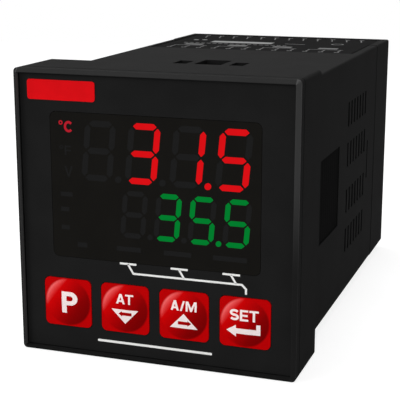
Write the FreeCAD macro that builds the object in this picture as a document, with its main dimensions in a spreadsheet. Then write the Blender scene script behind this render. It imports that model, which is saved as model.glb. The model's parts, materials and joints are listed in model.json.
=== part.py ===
"""Panel-mount PID temperature controller with a 72 x 72 mm front.

Frame: millimetres, +Z up, +X to the right as the user sees the front, and +Y into the panel.
The origin is the centre of the panel cut-out, in the plane where the bezel seats on the panel.
Every driving size is a cell of the sheet "sizes"; the objects are bound to those cells.
"""
import FreeCAD, Part
import math
import os
import re
import Sketcher

# ---------------------------------------------------------------- driving sizes (alias, value, meaning)
SIZES = (
    ("front_width", 72, "bezel, outside width"),
    ("front_height", 72, "bezel, outside height"),
    ("bezel_depth", 20, "bezel, from the panel to its front edge"),
    ("bezel_corner", 1, "radius of the bezel's four long edges"),
    ("bevel", 0.96, "bevel round the front edge of the bezel"),
    ("lip_land", 0.1, "flat left on the lip inside the bevel"),
    ("face_recess", 1.5, "depth of the front face behind the lip"),
    ("front_wall", 2, "thickness of the bezel's front wall"),
    ("seam_distance", 4, "seam groove, distance behind the front edge"),
    ("seam_width", 0.4, "seam groove, width"),
    ("seam_depth", 0.3, "seam groove, depth"),
    ("overlay_thickness", 0.5, "front overlay"),
    ("overlay_gap", 0.25, "gap between the overlay and the lip"),
    ("overlay_corner", 0.15, "corner radius of the overlay"),
    ("window_width", 53.74, "display window, visible width"),
    ("window_height", 36.55, "display window, visible height"),
    ("window_level", 7.47, "display window, height of its centre"),
    ("window_corner", 1.6, "display window, corner radius"),
    ("window_gap", 0.1, "clearance round the window in its opening"),
    ("window_flange", 1.2, "window flange behind the wall, overlap"),
    ("window_flange_thickness", 1, "window flange, thickness"),
    ("key_width", 12.68, "key cap, width"),
    ("key_height", 12.45, "key cap, height"),
    ("key_corner", 1.4, "key cap, corner radius"),
    ("key_pitch", 15.47, "distance from key to key"),
    ("key_level", -22.67, "height of the key row's centre line"),
    ("key_gap", 0.15, "clearance round a key cap in its opening"),
    ("key_rise", 0.1, "rim of the key cap ahead of the overlay"),
    ("key_flange", 0.9, "key flange behind the wall, overlap"),
    ("key_flange_thickness", 1, "key flange, thickness"),
    ("key_travel", 0.5, "stroke of a key"),
    ("dome_margin", 0.23, "key dome, its foot set in from the edge of the cap"),
    ("dome_height", 0.4, "key dome, height over the rim of the cap"),
    ("stem_radius", 2, "stem behind a key cap"),
    ("board_distance", 8, "display board, distance behind the front wall"),
    ("board_thickness", 1.6, "every circuit board"),
    ("board_gap", 0.2, "clearance between a board's edge and the housing"),
    ("switch_size", 6, "tactile switch, square case"),
    ("switch_height", 3.4, "tactile switch, case height"),
    ("plunger_radius", 1.75, "switch plunger"),
    ("plunger_clearance", 0.06, "running clearance of a plunger in its case"),
    ("plunger_depth", 1.2, "plunger, length inside the case at rest"),
    ("plunger_reserve", 0.2, "room left behind a pressed plunger"),
    ("plunger_reach", 0.1, "plunger left outside its case when the key is pressed"),
    ("post_radius", 1.5, "screw posts behind the front wall"),
    ("upper_post_offset", 28, "upper posts, distance from the centre line"),
    ("upper_post_level", 29.4, "upper posts, height"),
    ("lower_post_offset", 26.5, "lower posts, distance from the centre line"),
    ("lower_post_level", -13.8, "lower posts, height"),
    ("screw_radius", 0.9, "display board screw, shank"),
    ("screw_length", 6, "display board screw, shank length"),
    ("screw_head_radius", 1.7, "display board screw, head"),
    ("screw_head_height", 1.3, "display board screw, head height"),
    ("process_pitch", 11.4, "process display, digit pitch"),
    ("process_height", 17.4, "process display, case height"),
    ("process_margin", 0.45, "process display, set in from the window's upper edge"),
    ("setpoint_pitch", 8.69, "set-point display, digit pitch"),
    ("setpoint_height", 14, "set-point display, case height"),
    ("display_spacing", 0.1, "gap between the two displays, one above the other"),
    ("setpoint_side", 0.5, "set-point display, set in from the window's right edge"),
    ("display_margin", 1, "case beyond the outermost digits' pitch"),
    ("display_gap", 0.2, "gap between a display and the window"),
    ("digits", 4, "digits of each display"),
    ("guide_gap", 0.2, "gap between the light guide and the displays"),
    ("guide_cell", 2.8, "light guide, side of a light cell"),
    ("guide_margin", 0.5, "light guide, set in from the window's edge"),
    ("guide_column_bottom", 5.4, "lowest cell of the left column, centre over the window's lower edge"),
    ("guide_column_top", 3.65, "topmost cell of the left column, centre under the window's upper edge"),
    ("guide_column_cells", 6, "light guide, cells in the left column"),
    ("guide_row_rise", 2.5, "bottom row of cells, centre over the window's lower edge"),
    ("guide_row_left", 8, "first cell of the bottom row, centre from the window's left edge"),
    ("guide_row_right", 7.4, "last cell of the bottom row, centre from the window's right edge"),
    ("guide_row_cells", 4, "light guide, cells in the bottom row"),
    ("body_width", 67.05, "housing, outside width"),
    ("body_height", 67.13, "housing, outside height"),
    ("body_length", 85.1, "housing, from the panel to the tail"),
    ("body_corner", 0.6, "radius of the housing's long edges"),
    ("wall", 2, "housing wall"),
    ("tail_length", 19.6, "tail section of the housing"),
    ("tail_step", 0.1, "tail section, step outwards on each side"),
    ("sleeve_entry", 14, "length of the housing inside the bezel"),
    ("sleeve_gap", 0.1, "clearance between housing and bezel"),
    ("gasket_width", 1.3, "panel gasket, width"),
    ("gasket_thickness", 1.2, "panel gasket, thickness"),
    ("catch_length", 12, "snap catch between housing and bezel, length"),
    ("catch_depth", 0.5, "snap catch, how far it stands out"),
    ("catch_width", 1, "snap catch, width along the housing"),
    ("catch_setback", 9, "snap catch, distance ahead of the panel"),
    ("catch_gap", 0.1, "clearance round a snap catch"),
    ("vent_width", 1.75, "vent slot, width"),
    ("vent_height", 6.9, "vent slot, height"),
    ("vent_pitch", 3.95, "vent slots, distance along the housing"),
    ("vent_count", 7, "vent slots in a group"),
    ("vent_start", 44.6, "first vent slot, distance behind the panel"),
    ("vent_inner_level", 6.72, "inner vent groups, height"),
    ("vent_outer_level", 18.2, "outer vent groups, height"),
    ("grip_start", 12.3, "ribbed side recess, distance behind the panel"),
    ("grip_length", 22.1, "ribbed side recess, length"),
    ("grip_height", 22.4, "ribbed side recess, height"),
    ("grip_depth", 0.9, "ribbed side recess, depth"),
    ("tooth_pitch", 2.4, "ratchet teeth, distance from tooth to tooth"),
    ("tooth_height", 0.6, "ratchet teeth, height"),
    ("tooth_count", 9, "ratchet teeth in a recess"),
    ("latch_distance", 74.2, "latch slot, distance behind the panel"),
    ("latch_width", 1.2, "latch slot, width"),
    ("latch_height", 11.7, "latch slot, height"),
    ("latch_gap", 0.15, "clearance of the latch nose in its slot"),
    ("arm_thickness", 1.4, "snap arm of the rear panel"),
    ("arm_gap", 0.12, "clearance between a snap arm and the housing"),
    ("nose_rise", 1.4, "latch nose, how far it enters the housing wall"),
    ("clamp_start", 21.1, "clamp slots, distance behind the panel"),
    ("clamp_side_length", 6.7, "outer clamp slots, length"),
    ("clamp_side_width", 3.9, "outer clamp slots, width"),
    ("clamp_side_offset", 7.9, "outer clamp slots, distance from the middle"),
    ("clamp_middle_length", 10.4, "middle clamp slot, length"),
    ("clamp_middle_width", 7.5, "middle clamp slot, width"),
    ("clamp_depth", 3.5, "clamp slots, depth"),
    ("clamp_wall", 1.2, "wall round the clamp slots inside the housing"),
    ("label_width", 62.4, "wiring label, width"),
    ("label_length", 43.8, "wiring label, length"),
    ("label_setback", 1.4, "wiring label, distance from the back edge"),
    ("label_thickness", 0.15, "wiring label, thickness"),
    ("label_recess", 0.25, "recess for the wiring label"),
    ("label_gap", 0.2, "gap round the wiring label"),
    ("label_offset", -0.3, "wiring label, its centre to the right of the middle"),
    ("side_board_offset", 22, "side boards, distance from the middle"),
    ("rail_width", 1.2, "guide rib beside a board"),
    ("rail_height", 1.6, "guide rib, height"),
    ("rail_gap", 0.15, "clearance between a board's face and a rib"),
    ("rail_start", 2, "guide ribs, their front end behind the panel"),
    ("rail_length", 84, "guide ribs, length"),
    ("terminal_board_distance", 90, "terminal board, distance behind the panel"),
    ("terminal_board_width", 59.4, "terminal board, width"),
    ("header_depth", 8.5, "board header, length along the side board"),
    ("header_width", 2.5, "board header, width"),
    ("header_height", 40, "board header, height"),
    ("panel_inset", 2.7, "rear panel, its outer face ahead of the back edge"),
    ("panel_thickness", 2.5, "rear panel, thickness"),
    ("panel_ledge", 0.7, "ledge in the housing that stops the rear panel"),
    ("panel_gap", 0.12, "clearance round the rear panel"),
    ("terminal_pitch", 5.08, "distance from terminal to terminal"),
    ("terminal_count", 12, "terminals in a block"),
    ("terminal_level", 23, "terminal blocks, height of their centres"),
    ("terminal_height", 11.4, "terminal block, height"),
    ("terminal_inset", 0.5, "terminal blocks, ahead of the back edge"),
    ("terminal_gap", 0.15, "clearance round a block in the rear panel"),
    ("barrier_width", 0.9, "barrier between two terminals"),
    ("bay_depth", 6, "depth of a terminal bay"),
    ("bay_back_wall", 2, "wall of a bay on the side towards the middle"),
    ("contact_thickness", 0.8, "contact plate"),
    ("contact_height", 7.6, "contact plate, height"),
    ("contact_gap", 0.1, "clearance beside a contact plate"),
    ("contact_screw_offset", 1.2, "terminal screws, outwards of their block's centre"),
    ("contact_pin_offset", 2.3, "solder pins, inwards of their block's centre"),
    ("pin_width", 1, "solder pin of a contact"),
    ("terminal_head_radius", 1.95, "terminal screw, head"),
    ("terminal_head_height", 1.7, "terminal screw, head height"),
    ("slot_width", 0.7, "screwdriver slot, width"),
    ("slot_depth", 0.8, "screwdriver slot, depth"),
    ("core_width", 9, "transformer core, thickness"),
    ("core_length", 20, "transformer core, length"),
    ("core_height", 17, "transformer core, height over the board"),
    ("core_yoke", 3, "transformer core, width of its yokes"),
    ("core_outer_leg", 2.5, "transformer core, width of its outer legs"),
    ("core_middle_leg", 5.2, "transformer core, width of its middle leg"),
    ("transformer_distance", 34, "transformer, distance behind the panel"),
    ("transformer_level", -8, "transformer, height"),
    ("winding_gap", 0.15, "clearance between the core and the wound bobbin"),
    ("winding_corner", 2, "winding, corner radius"),
    ("relay_length", 20, "relay, length"),
    ("relay_width", 10.3, "relay, width"),
    ("relay_height", 15.4, "relay, height over the board"),
    ("relay_distance", 68, "relays, distance behind the panel"),
    ("relay_pitch", 15, "distance from relay to relay"),
    ("relay_corner", 0.6, "relay, corner radius"),
    ("mains_capacitor_radius", 6.25, "mains capacitor, radius"),
    ("mains_capacitor_height", 20, "mains capacitor, height"),
    ("mains_capacitor_distance", 10, "mains capacitor, distance behind the panel"),
    ("mains_capacitor_level", 16, "mains capacitor, level"),
    ("output_capacitor_radius", 4, "output capacitors, radius"),
    ("output_capacitor_height", 12, "output capacitors, height"),
    ("output_capacitor_distance", 50, "output capacitors, distance behind the panel"),
    ("output_capacitor_level", 20, "first output capacitor, level"),
    ("output_capacitor_pitch", 9, "distance between the output capacitors"),
    ("can_edge", 0.7, "bevelled edge of a capacitor can"),
    ("chip_size", 12, "processor, side"),
    ("chip_height", 1.6, "processor, height"),
    ("chip_distance", 34, "processor, distance behind the panel"),
)

# ---------------------------------------------------------------- places worked out from the sizes
FACE = "(face_recess - bezel_depth)"
WALL_FRONT = "(face_recess + overlay_thickness - bezel_depth)"
WALL_BACK = "(face_recess + overlay_thickness + front_wall - bezel_depth)"
BOARD_FRONT = f"({WALL_BACK} + board_distance)"
BOARD_BACK = f"({BOARD_FRONT} + board_thickness)"
KEY_RIM = f"({FACE} - key_rise)"
KEY_BACK = f"({WALL_BACK} + key_flange_thickness)"
SWITCH_FRONT = f"({BOARD_FRONT} - switch_height)"
PLUNGER_FRONT = f"({SWITCH_FRONT} - key_travel - plunger_reach)"
SLEEVE_FRONT = "(-sleeve_entry)"
BACK_EDGE = "(body_length + tail_length)"
INNER_WIDTH = "(body_width - 2 * wall)"
INNER_HEIGHT = "(body_height - 2 * wall)"
PANEL_BACK = f"({BACK_EDGE} - panel_inset)"
PANEL_FRONT = f"({PANEL_BACK} - panel_thickness)"
TERMINAL_BACK = f"({BACK_EDGE} - terminal_inset)"
TERMINAL_FRONT = "(terminal_board_distance + board_thickness)"
TERMINAL_WIDTH = "(terminal_count * terminal_pitch + barrier_width)"
BAY_FLOOR = f"({TERMINAL_BACK} - bay_depth)"
TOP = "(body_height / 2)"
BOARD_WIDTH = f"({INNER_WIDTH} - 2 * board_gap)"
BOARD_HEIGHT = f"({INNER_HEIGHT} - 2 * board_gap)"
BOARD_FACE = "(side_board_offset - board_thickness / 2)"
WINDOW_BACK = f"({WALL_BACK} + window_flange_thickness)"
LAMP_FRONT = f"({WINDOW_BACK} + display_gap)"
LAMP_DEPTH = f"({BOARD_FRONT} - {LAMP_FRONT})"
WINDOW_TOP = "(window_level + window_height / 2)"
WINDOW_BOTTOM = "(window_level - window_height / 2)"
PROCESS_WIDTH = "(digits * process_pitch + 2 * display_margin)"
PROCESS_LEFT = f"(window_width / 2 - {PROCESS_WIDTH})"
PROCESS_BOTTOM = f"({WINDOW_TOP} - process_margin - process_height)"
SETPOINT_WIDTH = "(digits * setpoint_pitch + 2 * display_margin)"
SETPOINT_LEFT = f"(window_width / 2 - setpoint_side - {SETPOINT_WIDTH})"
SETPOINT_BOTTOM = f"({PROCESS_BOTTOM} - display_spacing - setpoint_height)"
GUIDE_LEFT = "(guide_margin - window_width / 2)"
GUIDE_BOTTOM = f"({WINDOW_BOTTOM} + guide_margin)"
FIRST_TERMINAL = "((1 - terminal_count) * terminal_pitch / 2)"
BAY_WIDTH = "(terminal_pitch - barrier_width)"
BAY_HEIGHT = "(terminal_height - bay_back_wall)"

POSTS = (
    ("-upper_post_offset", "upper_post_level"),
    ("upper_post_offset", "upper_post_level"),
    ("-lower_post_offset", "lower_post_level"),
    ("lower_post_offset", "lower_post_level"),
)
KEYS = ("p", "at", "am", "set")
CENTRE = ("0", "0")

NORMAL_PLANE = {"X": "YZ_Plane", "Y": "XZ_Plane", "Z": "XY_Plane"}

doc = FreeCAD.newDocument("temperature_controller")
sheet = doc.addObject("Spreadsheet::Sheet", "sizes")
for row, (alias, size, meaning) in enumerate(SIZES, 1):
    sheet.set(f"A{row}", alias)
    sheet.set(f"B{row}", str(size))
    sheet.set(f"C{row}", meaning)
    sheet.setAlias(f"B{row}", alias)
doc.recompute()

ALIASES = {alias for alias, size, meaning in SIZES}
VALUES = {alias: size for alias, size, meaning in SIZES}


# ---------------------------------------------------------------- helpers
def bound(text):
    """The expression with each alias pointing at its cell of the sheet."""
    return re.sub(r"[a-z_]+", lambda word: f"sizes.{word[0]}" if word[0] in ALIASES else word[0], text)


def number(text):
    """What the expression comes to with the sizes above, for a sketch's first guess."""
    plain = re.sub(r"[a-z_]+", lambda word: f"({VALUES[word[0]]})", text)
    return FreeCAD.Units.Quantity(plain).Value


def bind(item, path, text):
    item.setExpression(path, bound(text))


def add_body(label):
    body = doc.addObject("PartDesign::Body", label)
    body.Label = label
    return body


def origin_feature(body, role):
    return next(feature for feature in body.Origin.OriginFeatures if feature.Role == role)


def add_sketch(body, name, normal, start, centre):
    """A sketch square to the given axis, at start along it, with its own origin at centre."""
    sketch = body.newObject("Sketcher::SketchObject", name)
    sketch.AttachmentSupport = [(origin_feature(body, NORMAL_PLANE[normal]), "")]
    sketch.MapMode = "FlatFace"
    bind(sketch, ".AttachmentOffset.Base.x", centre[0])
    bind(sketch, ".AttachmentOffset.Base.y", centre[1])
    bind(sketch, ".AttachmentOffset.Base.z", f"-1 * {start}" if normal == "Y" else start)
    return sketch


def constrain(sketch, name, text, *terms):
    """A dimension of the sketch, bound to an expression."""
    index = sketch.addConstraint(Sketcher.Constraint(*terms, number(text)))
    sketch.renameConstraint(index, name)
    bind(sketch, f"Constraints.{name}", text)


def draw_rectangle(sketch, width, height):
    """A rectangle centred on the sketch's origin."""
    half_x = number(width) / 2
    half_y = number(height) / 2
    corners = [(-half_x, -half_y), (half_x, -half_y), (half_x, half_y), (-half_x, half_y)]
    first = sketch.GeometryCount
    sides = []
    for index in range(4):
        begin = FreeCAD.Vector(*corners[index], 0)
        end = FreeCAD.Vector(*corners[(index + 1) % 4], 0)
        sides.append(sketch.addGeometry(Part.LineSegment(begin, end), False))
    for index, side in enumerate(sides):
        sketch.addConstraint(Sketcher.Constraint("Coincident", side, 2, sides[(index + 1) % 4], 1))
        sketch.addConstraint(Sketcher.Constraint("Vertical" if index % 2 else "Horizontal", side))
    sketch.addConstraint(Sketcher.Constraint("Symmetric", sides[0], 1, sides[2], 1, -1, 1))
    constrain(sketch, f"width_{first}", width, "DistanceX", sides[0], 1, sides[0], 2)
    constrain(sketch, f"height_{first}", height, "DistanceY", sides[1], 1, sides[1], 2)


def draw_rounded_rectangle(sketch, width, height, radius):
    """A rectangle with rounded corners, centred on the sketch's origin."""
    corner = number(radius)
    reach_x = number(width) / 2 - corner
    reach_y = number(height) / 2 - corner
    first = sketch.GeometryCount
    sides = []
    arcs = []
    for turn in range(4):
        spin = FreeCAD.Rotation(FreeCAD.Vector(0, 0, 1), 90 * turn)
        across = reach_x if turn % 2 == 0 else reach_y
        out = (reach_y if turn % 2 == 0 else reach_x) + corner
        begin = spin.multVec(FreeCAD.Vector(-across, -out, 0))
        end = spin.multVec(FreeCAD.Vector(across, -out, 0))
        centre = spin.multVec(FreeCAD.Vector(across, corner - out, 0))
        circle = Part.Circle(centre, FreeCAD.Vector(0, 0, 1), corner)
        opening = (3 + turn) * math.pi / 2
        sides.append(sketch.addGeometry(Part.LineSegment(begin, end), False))
        arc = Part.ArcOfCircle(circle, opening, opening + math.pi / 2)
        arcs.append(sketch.addGeometry(arc, False))
    for turn in range(4):
        following = sides[(turn + 1) % 4]
        sketch.addConstraint(Sketcher.Constraint("Tangent", sides[turn], 2, arcs[turn], 1))
        sketch.addConstraint(Sketcher.Constraint("Tangent", arcs[turn], 2, following, 1))
        sketch.addConstraint(Sketcher.Constraint("Vertical" if turn % 2 else "Horizontal", sides[turn]))
    for arc in arcs[1:]:
        sketch.addConstraint(Sketcher.Constraint("Equal", arcs[0], arc))
    sketch.addConstraint(Sketcher.Constraint("Symmetric", arcs[0], 3, arcs[2], 3, -1, 1))
    constrain(sketch, f"radius_{first}", radius, "Radius", arcs[0])
    constrain(sketch, f"reach_x_{first}", f"{width} - 2 * {radius}", "DistanceX", arcs[3], 3, arcs[0], 3)
    constrain(sketch, f"reach_y_{first}", f"{height} - 2 * {radius}", "DistanceY", arcs[0], 3, arcs[1], 3)


def draw_circle(sketch, radius, place=None):
    """A circle at the sketch's origin, or at a place given by two expressions."""
    centre = FreeCAD.Vector()
    if place:
        centre = FreeCAD.Vector(number(place[0]), number(place[1]), 0)
    circle = Part.Circle(centre, FreeCAD.Vector(0, 0, 1), number(radius))
    index = sketch.addGeometry(circle, False)
    constrain(sketch, f"radius_{index}", radius, "Radius", index)
    if place:
        constrain(sketch, f"across_{index}", place[0], "DistanceX", -1, 1, index, 3)
        constrain(sketch, f"up_{index}", place[1], "DistanceY", -1, 1, index, 3)
    else:
        sketch.addConstraint(Sketcher.Constraint("Coincident", index, 3, -1, 1))


def draw_polygon(sketch, points):
    """A closed outline through the points, each given by two expressions."""
    places = [FreeCAD.Vector(number(across), number(up), 0) for across, up in points]
    lines = []
    for index, place in enumerate(places):
        line = Part.LineSegment(place, places[(index + 1) % len(places)])
        lines.append(sketch.addGeometry(line, False))
    for index, (across, up) in enumerate(points):
        following = lines[(index + 1) % len(lines)]
        sketch.addConstraint(Sketcher.Constraint("Coincident", lines[index], 2, following, 1))
        constrain(sketch, f"across_{lines[index]}", across, "DistanceX", -1, 1, lines[index], 1)
        constrain(sketch, f"up_{lines[index]}", up, "DistanceY", -1, 1, lines[index], 1)


def extrude(body, kind, name, sketch, normal, length):
    """A Pad or a Pocket that always runs from the sketch towards the positive axis."""
    feature = body.newObject(f"PartDesign::{kind}", name)
    feature.Profile = sketch
    feature.Reversed = (kind == "Pad") == (normal == "Y")
    bind(feature, "Length", length)
    sketch.Visibility = False
    body.Tip = feature
    return feature


def prism(body, kind, name, normal, start, length, centre, size, corner=None):
    sketch = add_sketch(body, f"{name}_outline", normal, start, centre)
    if corner is None:
        draw_rectangle(sketch, *size)
    else:
        draw_rounded_rectangle(sketch, *size, corner)
    return extrude(body, kind, name, sketch, normal, length)


def disc(body, kind, name, normal, start, length, centre, radius):
    sketch = add_sketch(body, f"{name}_outline", normal, start, centre)
    draw_circle(sketch, radius)
    return extrude(body, kind, name, sketch, normal, length)


def row_of(body, name, axis, spacing, count):
    row = body.newObject("PartDesign::LinearPattern", name)
    row.Direction = (origin_feature(body, f"{axis}_Axis"), [""])
    row.Mode = "Spacing"
    bind(row, "Offset", spacing)
    bind(row, "Occurrences", count)
    return row


def repeat(body, name, originals, axis, spacing, count):
    """A row of copies of the features along an axis of the body."""
    row = row_of(body, name, axis, spacing, count)
    row.Originals = originals
    body.Tip = row


def mirror(body, name, originals, plane):
    """Copies of the features on the other side of an origin plane."""
    reflection = body.newObject("PartDesign::Mirrored", name)
    reflection.Originals = originals
    reflection.MirrorPlane = (origin_feature(body, plane), [""])
    body.Tip = reflection


def repeat_and_mirror(body, name, originals, axis, spacing, count, plane):
    """A row of copies along an axis, and the same row on the other side of an origin plane."""
    both = body.newObject("PartDesign::MultiTransform", name)
    both.Originals = originals
    row = row_of(body, f"{name}_row", axis, spacing, count)
    reflection = body.newObject("PartDesign::Mirrored", f"{name}_reflection")
    reflection.MirrorPlane = (origin_feature(body, plane), [""])
    both.Transformations = [row, reflection]
    body.Tip = both


def edges_at_front(feature):
    """The names of a feature's edges that lie in its foremost plane."""
    front = feature.Shape.BoundBox.YMin
    return [
        f"Edge{index}"
        for index, edge in enumerate(feature.Shape.Edges, 1)
        if edge.BoundBox.YMax < front + edge.Length / 1000
    ]


# ---------------------------------------------------------------- front
def cut_window_and_keys(body, start, length):
    """The openings that the overlay and the bezel's front wall share."""
    window = ("window_width", "window_height")
    place = ("0", "window_level")
    prism(body, "Pocket", "window_opening", "Y", start, length, place, window, "window_corner")
    opening = ("key_width + 2 * key_gap", "key_height + 2 * key_gap")
    place = (f"{1 - len(KEYS)} * key_pitch / 2", "key_level")
    corner = "(key_corner + key_gap)"
    key = prism(body, "Pocket", "key_opening", "Y", start, length, place, opening, corner)
    repeat(body, "key_openings", [key], "X", "key_pitch", str(len(KEYS)))


def make_bezel():
    body = add_body("bezel")
    outline = ("front_width", "front_height")
    block = prism(body, "Pad", "block", "Y", "-bezel_depth", "bezel_depth", CENTRE, outline, "bezel_corner")
    doc.recompute()
    bevel = body.newObject("PartDesign::Chamfer", "front_bevel")
    bevel.Base = (block, edges_at_front(block))
    bind(bevel, "Size", "bevel")
    body.Tip = bevel

    recess = tuple(f"{side} - 2 * (bevel + lip_land)" for side in outline)
    depth = "face_recess + overlay_thickness"
    corner = "(overlay_corner + overlay_gap)"
    prism(body, "Pocket", "face_recess", "Y", "-bezel_depth", depth, CENTRE, recess, corner)
    sleeve = ("body_width + 2 * sleeve_gap", "body_height + 2 * sleeve_gap")
    corner = "(body_corner + sleeve_gap)"
    prism(body, "Pocket", "sleeve_space", "Y", WALL_BACK, f"-1 * {WALL_BACK}", CENTRE, sleeve, corner)
    seat = ("body_width + 2 * gasket_width", "body_height + 2 * gasket_width")
    corner = "(body_corner + gasket_width)"
    start = "-gasket_thickness"
    prism(body, "Pocket", "gasket_seat", "Y", start, "gasket_thickness", CENTRE, seat, corner)
    cut_window_and_keys(body, WALL_FRONT, "front_wall")

    posts = add_sketch(body, "posts_outline", "Y", WALL_BACK, CENTRE)
    holes = add_sketch(body, "post_holes_outline", "Y", f"({BOARD_BACK} - screw_length)", CENTRE)
    for place in POSTS:
        draw_circle(posts, "post_radius", place)
        draw_circle(holes, "screw_radius", place)
    extrude(body, "Pad", "posts", posts, "Y", "board_distance")
    extrude(body, "Pocket", "post_holes", holes, "Y", "screw_length - board_thickness")

    start = "(-1 * (body_height / 2 + catch_depth + catch_gap))"
    length = "body_height + 2 * (catch_depth + catch_gap)"
    groove = ("catch_length + 2 * catch_gap", "catch_width + 2 * catch_gap")
    prism(body, "Pocket", "catch_grooves", "Z", start, length, ("0", "-catch_setback"), groove)

    seam = add_sketch(body, "seam_outline", "Y", "(seam_distance - seam_width / 2 - bezel_depth)", CENTRE)
    inside = "(bezel_corner - seam_depth)"
    draw_rounded_rectangle(seam, *(f"({side} - 2 * seam_depth)" for side in outline), inside)
    draw_rectangle(seam, *(f"({side} + 2 * seam_depth)" for side in outline))
    extrude(body, "Pocket", "seam", seam, "Y", "seam_width")
    return body


def make_front_overlay():
    body = add_body("front_overlay")
    inset = "2 * (bevel + lip_land + overlay_gap)"
    size = (f"front_width - {inset}", f"front_height - {inset}")
    prism(body, "Pad", "plate", "Y", FACE, "overlay_thickness", CENTRE, size, "overlay_corner")
    cut_window_and_keys(body, FACE, "overlay_thickness")
    return body


def make_display_window():
    body = add_body("display_window")
    centre = ("0", "window_level")
    pane = ("window_width - 2 * window_gap", "window_height - 2 * window_gap")
    depth = "overlay_thickness + front_wall"
    prism(body, "Pad", "pane", "Y", FACE, depth, centre, pane, "(window_corner - window_gap)")
    flange = ("window_width + 2 * window_flange", "window_height + 2 * window_flange")
    corner = "(window_corner + window_flange)"
    prism(body, "Pad", "flange", "Y", WALL_BACK, "window_flange_thickness", centre, flange, corner)
    return body


def place_at_key(body, index):
    bind(body, "Placement.Base.x", f"{(2 * index + 1 - len(KEYS)) / 2} * key_pitch")
    bind(body, "Placement.Base.z", "key_level")


def add_dome(body, foot_radius, height):
    """A flat dome on a key cap: a slice of a sphere, turned about the cap's centre line."""
    profile = add_sketch(body, "dome_profile", "Z", "0", ("0", KEY_RIM))
    radius = number(foot_radius)
    rise = number(height)
    sphere = (radius * radius + rise * rise) / (2 * rise)
    foot = FreeCAD.Vector(radius, 0, 0)
    crest = FreeCAD.Vector(0, -rise, 0)
    shoulder = FreeCAD.Vector(radius / 2, sphere - rise - math.sqrt(sphere**2 - radius**2 / 4), 0)
    base = profile.addGeometry(Part.LineSegment(FreeCAD.Vector(), foot), False)
    arc = profile.addGeometry(Part.Arc(crest, shoulder, foot), False)
    axis = profile.addGeometry(Part.LineSegment(crest, FreeCAD.Vector()), False)
    profile.addConstraint(Sketcher.Constraint("Coincident", base, 1, -1, 1))
    profile.addConstraint(Sketcher.Constraint("Horizontal", base))
    profile.addConstraint(Sketcher.Constraint("Coincident", base, 2, arc, 2))
    profile.addConstraint(Sketcher.Constraint("Coincident", arc, 1, axis, 1))
    profile.addConstraint(Sketcher.Constraint("Coincident", axis, 2, base, 1))
    profile.addConstraint(Sketcher.Constraint("Vertical", axis))
    profile.addConstraint(Sketcher.Constraint("PointOnObject", arc, 3, -2))
    constrain(profile, "foot", foot_radius, "DistanceX", base, 1, base, 2)
    constrain(profile, "crest", height, "DistanceY", axis, 1, axis, 2)
    dome = body.newObject("PartDesign::Revolution", "dome")
    dome.Profile = profile
    dome.ReferenceAxis = (profile, ["V_Axis"])
    dome.Angle = 360
    profile.Visibility = False
    body.Tip = dome


def make_key(index, name):
    """A key: square cap with a domed face, a flange behind the front wall and a stem."""
    body = add_body(f"key_{name}")
    cap = ("key_width", "key_height")
    depth = "key_rise + overlay_thickness + front_wall"
    prism(body, "Pad", "cap", "Y", KEY_RIM, depth, CENTRE, cap, "key_corner")
    add_dome(body, "(key_height / 2 - dome_margin)", "dome_height")
    flange = ("key_width + 2 * key_flange", "key_height + 2 * key_flange")
    prism(body, "Pad", "flange", "Y", WALL_BACK, "key_flange_thickness", CENTRE, flange)
    disc(body, "Pad", "stem", "Y", KEY_BACK, f"{PLUNGER_FRONT} - {KEY_BACK}", CENTRE, "stem_radius")
    place_at_key(body, index)
    return body


def make_plunger(index, name):
    body = add_body(f"plunger_{name}")
    length = "plunger_reach + key_travel + plunger_depth"
    disc(body, "Pad", "pin", "Y", PLUNGER_FRONT, length, CENTRE, "plunger_radius")
    place_at_key(body, index)
    return body


def make_tact_switches():
    """The four switch cases behind the keys, each with a blind bore for its plunger."""
    body = add_body("tact_switches")
    place = (f"{1 - len(KEYS)} * key_pitch / 2", "key_level")
    square = ("switch_size", "switch_size")
    case = prism(body, "Pad", "case", "Y", SWITCH_FRONT, "switch_height", place, square)
    depth = "plunger_depth + key_travel + plunger_reserve"
    radius = "(plunger_radius + plunger_clearance)"
    bore = disc(body, "Pocket", "bore", "Y", SWITCH_FRONT, depth, place, radius)
    repeat(body, "cases", [case, bore], "X", "key_pitch", str(len(KEYS)))
    return body


def make_display_board():
    body = add_body("display_board")
    size = (BOARD_WIDTH, BOARD_HEIGHT)
    prism(body, "Pad", "plate", "Y", BOARD_FRONT, "board_thickness", CENTRE, size)
    holes = add_sketch(body, "holes_outline", "Y", BOARD_FRONT, CENTRE)
    for place in POSTS:
        draw_circle(holes, "screw_radius", place)
    extrude(body, "Pocket", "holes", holes, "Y", "board_thickness")
    return body


def make_board_screws():
    """The four screws that hold the display board on the bezel's posts."""
    body = add_body("board_screws")
    shanks = add_sketch(body, "shanks_outline", "Y", f"({BOARD_BACK} - screw_length)", CENTRE)
    heads = add_sketch(body, "heads_outline", "Y", BOARD_BACK, CENTRE)
    for place in POSTS:
        draw_circle(shanks, "screw_radius", place)
        draw_circle(heads, "screw_head_radius", place)
    extrude(body, "Pad", "shanks", shanks, "Y", "screw_length")
    extrude(body, "Pad", "heads", heads, "Y", "screw_head_height")
    return body


def make_display(label, centre, size):
    body = add_body(label)
    prism(body, "Pad", "case", "Y", LAMP_FRONT, LAMP_DEPTH, centre, size)
    return body


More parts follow.
